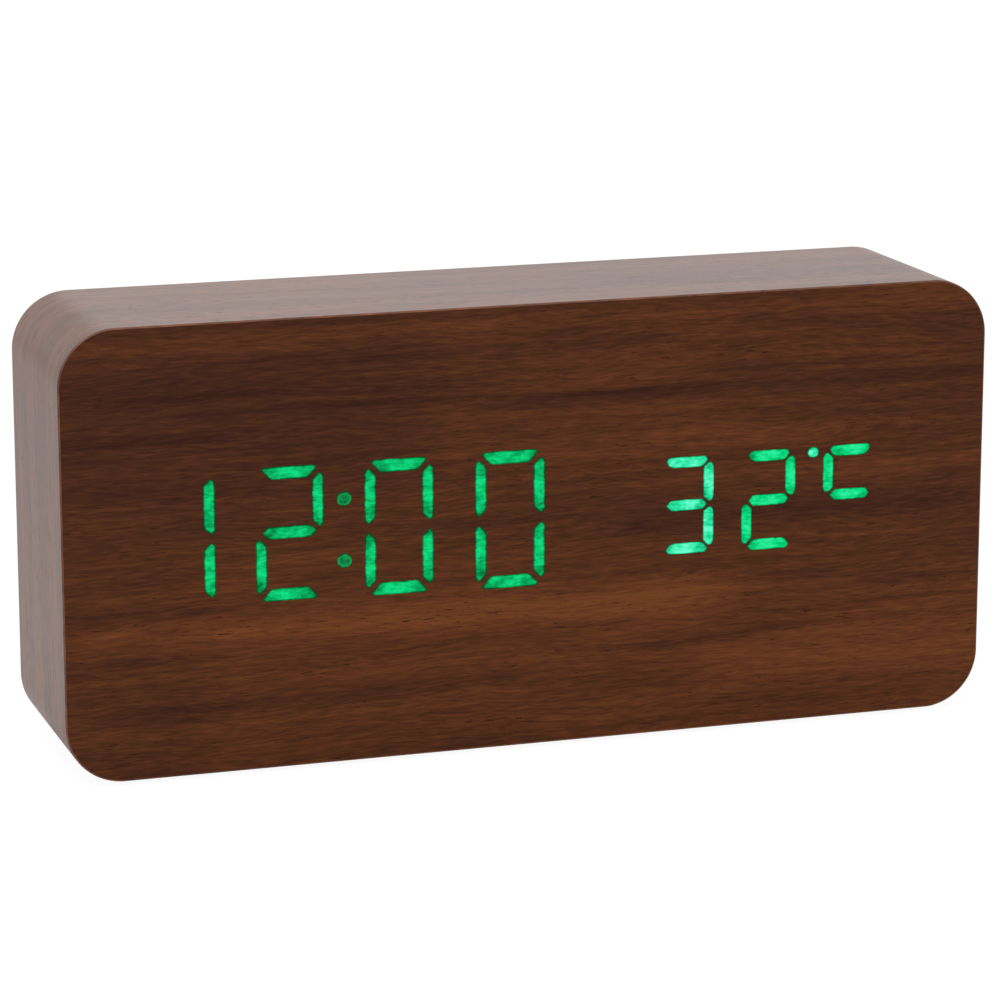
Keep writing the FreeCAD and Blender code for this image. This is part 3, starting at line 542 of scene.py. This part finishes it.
def full_set(parts, width, height):
    """All seven segments, mirrored from the three that are drawn."""
    def mirrored(outline, left_right=False, up_down=False):
        return [(width - u if left_right else u, height - v if up_down else v) for u, v in outline]
    return {"a": parts["a"], "b": parts["b"], "c": mirrored(parts["b"], up_down=True),
            "d": mirrored(parts["a"], up_down=True), "e": mirrored(parts["b"], True, True),
            "f": mirrored(parts["b"], True), "g": parts["g"]}


def soft_outline(points, radius, steps=3):
    """The outline with each corner rounded off."""
    eased = []
    for i, corner in enumerate(points):
        here = Vector(corner)
        before, after = Vector(points[i - 1]), Vector(points[(i + 1) % len(points)])
        cut = min(radius, (before - here).length * 0.4, (after - here).length * 0.4)
        enter = here + (before - here).normalized() * cut
        leave = here + (after - here).normalized() * cut
        for step in range(steps + 1):
            t = step / steps
            eased.append(tuple(enter * (1 - t) ** 2 + here * 2 * t * (1 - t) + leave * t ** 2))
    return eased


def disc_outline(x, z, radius, steps=32):
    return [(x + radius * math.cos(math.tau * i / steps), z + radius * math.sin(math.tau * i / steps))
            for i in range(steps)]


def glow_spot(name, outlines, material, fade):
    """Lit film over some segments: thin slabs whose rim dims over the last few tenths of a mm."""
    bm = bmesh.new()
    core = bm.verts.layers.float.new("glow")
    along = bm.verts.layers.float.new("reach")
    for outline in outlines:
        corners = [Vector(c) for c in outline]
        middle = sum(corners, Vector((0, 0))) / len(corners)
        span = [max(c[k] for c in corners) - min(c[k] for c in corners) for k in (0, 1)]
        axis = 0 if span[0] > span[1] else 1
        part = plate(outline, film_low.y, film_low.y + 0.10 * MM)
        face = min(part.faces, key=lambda f: (f.calc_center_median().y, -f.calc_area()))
        ring = bmesh.ops.inset_region(part, faces=[face], thickness=fade, depth=0.0, use_even_offset=True)
        inside = {v for v in face.verts}
        known = {}
        for vert in part.verts:
            known[vert] = bm.verts.new(vert.co)
            known[vert][core] = 1.0 if vert in inside else 0.0
            known[vert][along] = (vert.co[2 * axis] - middle[axis]) / (span[axis] / 2)
        for f in part.faces:
            bm.faces.new([known[v] for v in f.verts])
        part.free()
    return piece(name, mesh_from(bm, name), "case", [material])


def place_outline(outline, left, bottom, wide, tall):
    """A segment of a digit whose lower left corner lies at (left, bottom) mm, stretched a little."""
    return [((left + u * wide) * MM, digits_z + (bottom + v * tall) * MM) for u, v in outline]


# lit segments, left and bottom in mm (bottom from the digits' middle), and stretch across and up
TIME_DIGITS = (
    ("bc", -62.48, -10.34, 1.0, 0.970),
    ("abged", -45.12, -10.40, 0.963, 0.970),
    ("abcdef", -27.92, -10.78, 0.988, 0.988),
    ("abcdef", -10.22, -11.19, 1.019, 1.006),
)
TEMP_DIGITS = (
    ("lit_tens", "abgcd", 19.96, -8.02, 1.0, 0.970, lit_three),
    ("lit_units", "abged", 33.72, -8.36, 1.0, 1.0, lit_two),
    ("lit_celsius", "afg", 47.50, -8.38, 1.0, 1.0, lit_two),
)


def lit_display():
    """14:? reading of four time digits and a two-digit temperature with its degree mark."""
    time_set = full_set(TIME_PARTS, 11.1, 21.6)
    temp_set = full_set(TEMP_PARTS, 9.1, 16.15)
    shapes = []
    for lit, left, bottom, wide, tall in TIME_DIGITS:
        for letter in lit:
            shapes.append(soft_outline(place_outline(time_set[letter], left, bottom, wide, tall), 0.42 * MM))
    glow_spot("lit_time", shapes, lit_time, 0.30 * MM)
    dots = [disc_outline(colon_x, digits_z + sign * colon_rise, colon_r) for sign in (1, -1)]
    glow_spot("lit_colon", dots, lit_dots, 0.45 * MM)
    for name, lit, left, bottom, wide, tall, material in TEMP_DIGITS:
        shapes = [soft_outline(place_outline(temp_set[letter], left, bottom, wide, tall), 0.25 * MM)
                  for letter in lit]
        glow_spot(name, shapes, material, 0.22 * MM)
    glow_spot("lit_degree", [disc_outline(degree_x, digits_z + degree_rise, degree_r)], lit_three, 0.3 * MM)


front_sheet()
side_band()
lit_display()


# ---- pieces taken from the frame, with eased edges --------------------------------------------
# node, body, material slot, material, easing in mm
EASED = (
    ("case_body", "case", "mdf", mdf, 0.0),
    ("foot_pads", "case", "foam", pads, 0.12),
    ("rear_cover", "case", "cover_abs", cover_black, 0.15),
    ("rear_cover_screws", "case", "steel_screw", black_zinc, 0.10),
    ("battery_door", "battery_door", "cover_abs", cover_black, 0.15),
    ("set_button", "set_button", "button_abs", cap_black, 0.22),
    ("up_button", "up_button", "button_abs", cap_black, 0.22),
    ("down_button", "down_button", "button_abs", cap_black, 0.22),
    ("power_socket_shell", "case", "tin", tin, 0.06),
    ("power_socket_tongue", "case", "chip_black", chip, 0.05),
    ("battery_contact_plates", "case", "spring_nickel", nickel, 0.04),
    ("battery_springs", "case", "spring_nickel", nickel, 0.0),
)
for node, body, slot_name, material, width in EASED:
    softened(node, body, material, width * MM)

# ---- pieces inside, shown just as they are in the frame ------------------------------------------
INSIDE = (
    (reflector, "time_display_housing", "temperature_display_housing"),
    (diffuser, "time_segments", "temperature_segments"),
    (lens, "led_chips"),
    (board, "display_board", "button_board"),
    (black_zinc, "display_board_screws", "button_board_screws"),
    (chip, "clock_chip", "driver_chip", "digit_transistors", "chip_resistors", "buzzer",
     "set_switch", "up_switch", "down_switch"),
    (ceramic, "chip_capacitors"),
    (tin, "timing_crystal"),
    (can, "smoothing_capacitor"),
    (glass, "thermistor"),
    (nylon, "display_board_header", "button_board_header", "set_switch_plunger", "up_switch_plunger",
     "down_switch_plunger"),
    (grey_pvc, "link_cable"),
    (red_pvc, "battery_lead_red"),
    (black_pvc, "battery_lead_black"),
)
for material, *names in INSIDE:
    for node in names:
        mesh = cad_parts[node].data
        mesh.materials.clear()
        mesh.materials.append(material)


# ---- battery cells --------------------------------------------------------------------------------
def spun(profile, steps):
    """A closed solid turned about the X axis from (along, radius, material number) points."""
    bm = bmesh.new()
    rings = []
    for along, radius, _ in profile:
        if radius == 0:
            rings.append([bm.verts.new((along, 0, 0))])
        else:
            rings.append([bm.verts.new((along, radius * math.cos(math.tau * i / steps),
                                        radius * math.sin(math.tau * i / steps))) for i in range(steps)])
    for (near, far), (_, _, kind) in zip(zip(rings, rings[1:]), profile):
        for i in range(steps):
            j = (i + 1) % steps
            corners = []
            for vert in (near[i % len(near)], near[j % len(near)], far[j % len(far)], far[i % len(far)]):
                if vert not in corners:
                    corners.append(vert)
            bm.faces.new(corners).material_index = kind
    return bm


def battery_cell(node, plus_to_right):
    """A size R03 cell: printed jacket turned over both ends, steel base, and a raised plus nub."""
    low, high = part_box(node)
    centre = (low + high) / 2
    radius = (high.y - low.y) / 2
    length = high.x - low.x
    nub = 1.0 * MM
    body = length - nub
    profile = [(p * MM, r * MM if r else 0, kind) for p, r, kind in (
        (0.0, 0, 2), (0.0, 3.9, 2), (0.12, 4.25, 2), (0.30, 4.35, 0), (0.08, 4.55, 0))]
    profile += [(0.0, radius - 0.55 * MM, 0), (0.16 * MM, radius - 0.16 * MM, 0), (0.5 * MM, radius, 0),
                (body * 0.72, radius, 1), (body - 0.5 * MM, radius, 1),
                (body - 0.16 * MM, radius - 0.16 * MM, 1), (body, radius - 0.55 * MM, 1),
                (body - 0.05 * MM, radius - 0.85 * MM, 1), (body - 0.35 * MM, radius - 1.0 * MM, 3),
                (body - 0.35 * MM, 2.3 * MM, 2), (body - 0.1 * MM, 1.95 * MM, 2),
                (length - 0.25 * MM, 1.85 * MM, 2), (length - 0.05 * MM, 1.6 * MM, 2), (length, 1.2 * MM, 2),
                (length, 0, 2)]
    bm = spun(profile, 64)
    turn = Matrix.Identity(4) if plus_to_right else Matrix.Rotation(math.pi, 4, "Z")
    start = low.x if plus_to_right else high.x
    bmesh.ops.transform(bm, matrix=Matrix.Translation((start, centre.y, centre.z)) @ turn, verts=bm.verts)
    made = piece("look_" + node, mesh_from(bm, node + "_look"), "case",
                 [jacket, jacket_band, nickel, chip], [node])
    shade(made.data, 35)
    return made


for node, plus_to_right in (("battery_cell_1", True), ("battery_cell_2", False), ("battery_cell_3", True)):
    battery_cell(node, plus_to_right)


# ---- printed marks -----------------------------------------------------------------------------------
def printed(name, shapes, y, body, height=0.03 * MM):
    """Ink shapes lying on a face that looks to +Y: lists of (x, z) points."""
    bm = bmesh.new()
    for outline in shapes:
        part = plate(outline, y - 0.02 * MM, y + height)
        known = {v: bm.verts.new(v.co) for v in part.verts}
        for f in part.faces:
            bm.faces.new([known[v] for v in f.verts])
        part.free()
    return piece(name, mesh_from(bm, name), body, [ink])


def lettered(name, words, x, z, size, y, body):
    """Printed words on a face that looks to +Y."""
    curve = bpy.data.curves.new(name, "FONT")
    curve.body = words
    curve.size = size
    curve.align_x = "CENTER"
    curve.align_y = "CENTER"
    curve.extrude = 0.025 * MM
    text = bpy.data.objects.new(name + "_text", curve)
    bpy.context.scene.collection.objects.link(text)
    bpy.context.view_layer.update()
    mesh = bpy.data.meshes.new_from_object(text.evaluated_get(bpy.context.evaluated_depsgraph_get()))
    bpy.data.objects.remove(text)
    facing = Matrix(((-1, 0, 0, x), (0, 0, 1, y), (0, 1, 0, z), (0, 0, 0, 1)))
    mesh.transform(facing)
    mesh.name = name
    mesh.materials.clear()
    return piece(name, mesh, body, [ink])


face_y = 15.5 * MM
legend_drop = 6.2 * MM
set_low, set_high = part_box("set_button")
button_z = (set_low.z + set_high.z) / 2
lettered("legend_set", "SET", (set_low.x + set_high.x) / 2, button_z - legend_drop, 3.0 * MM, face_y, "case")
for name, node, way in (("legend_up", "up_button", 1), ("legend_down", "down_button", -1)):
    low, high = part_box(node)
    x, z = (low.x + high.x) / 2, button_z - legend_drop
    printed(name, [[(x - 1.2 * MM, z - 0.9 * MM * way), (x + 1.2 * MM, z - 0.9 * MM * way),
                    (x, z + 1.1 * MM * way)]], face_y, "case")


# ---- stage ----------------------------------------------------------------------------------------------
def floor_material():
    """A pale matt sheet that glows a little towards the camera, so that only a faint shadow shows."""
    material = bpy.data.materials.new("pale floor")
    material.use_nodes = True
    tree = material.node_tree
    tree.nodes.clear()
    matt = add(tree, "BsdfDiffuse", {"Color": (0.93, 0.93, 0.93, 1)})
    grain = speckle(tree, 0.5)
    tint = add(tree, "MapRange", {"Value": grain, "To Min": 0.998, "To Max": 1.0}).outputs[0]
    light = add(tree, "Emission", {"Color": tint, "Strength": 1.07})
    seen = add(tree, "LightPath").outputs["Is Camera Ray"]
    share = add(tree, "Math", {0: seen, 1: 0.88}, operation="MULTIPLY").outputs[0]
    both = add(tree, "MixShader", {0: share, 1: matt.outputs[0], 2: light.outputs[0]})
    out = add(tree, "OutputMaterial")
    tree.links.new(both.outputs[0], out.inputs["Surface"])
    return material


def sky():
    """White wherever it is seen, reflected or looked through; softer grey where it only lights."""
    world = bpy.data.worlds.new("soft white")
    world.use_nodes = True
    bpy.context.scene.world = world
    tree = world.node_tree
    tree.nodes.clear()
    path = add(tree, "LightPath")
    seen = add(tree, "Math", {0: path.outputs["Is Camera Ray"], 1: path.outputs["Is Glossy Ray"]},
               operation="MAXIMUM").outputs[0]
    seen = add(tree, "Math", {0: seen, 1: path.outputs["Is Transmission Ray"]}, operation="MAXIMUM").outputs[0]
    colour = add(tree, "Mix", {0: seen, 6: (0.72, 0.72, 0.73, 1), 7: (1, 1, 1, 1)}, data_type="RGBA")
    back = add(tree, "Background", {"Color": colour.outputs[2], "Strength": 1.0})
    out = add(tree, "OutputWorld")
    tree.links.new(back.outputs[0], out.inputs["Surface"])


def area_light(name, place, target, size, power):
    lamp = bpy.data.lights.new(name, "AREA")
    lamp.shape = "SQUARE"
    lamp.size = size
    lamp.energy = power
    made = bpy.data.objects.new(name, lamp)
    made.location = place
    made.rotation_euler = (Vector(target) - Vector(place)).to_track_quat("-Z", "Y").to_euler()
    bpy.context.scene.collection.objects.link(made)


floor_mesh = bpy.data.meshes.new("floor")
reach = 6.0
floor_mesh.from_pydata([(-reach, -reach, 0), (reach, -reach, 0), (reach, reach, 0), (-reach, reach, 0)], [],
                       [(0, 1, 2, 3)])
floor_mesh.materials.append(floor_material())
floor = bpy.data.objects.new("floor", floor_mesh)
bpy.context.scene.collection.objects.link(floor)
sky()
area_light("key", (-0.35, -0.75, 0.95), (0, 0, 0.03), 0.7, 7.0)
area_light("back", (0.45, 1.25, 0.62), (0, 0, 0.06), 0.9, 0.6)

# ---- camera ---------------------------------------------------------------------------------------------
AZIMUTH, ELEVATION = math.radians(-18.0856), math.radians(13.0642)
DISTANCE = 636.8 * MM
SIDEWAYS, UPWARD = -0.63 * MM, 0.39 * MM
back = Vector((math.sin(AZIMUTH) * math.cos(ELEVATION), -math.cos(AZIMUTH) * math.cos(ELEVATION),
               math.sin(ELEVATION)))
across = Vector((0, 0, 1)).cross(back).normalized()
up = back.cross(across)
eye = Vector((0, 0, middle_z)) + across * SIDEWAYS + up * UPWARD + back * DISTANCE
lens_data = bpy.data.cameras.new("camera")
lens_data.sensor_width = 36
lens_data.lens = 144.4
lens_data.clip_start = 0.01
lens_data.clip_end = 50
lens_data.dof.use_dof = False
camera = bpy.data.objects.new("camera", lens_data)
camera.matrix_world = Matrix.Translation(eye) @ Matrix((across, up, back)).transposed().to_4x4()
bpy.context.scene.collection.objects.link(camera)
bpy.context.scene.camera = camera
bpy.context.scene.view_settings.view_transform = "Standard"
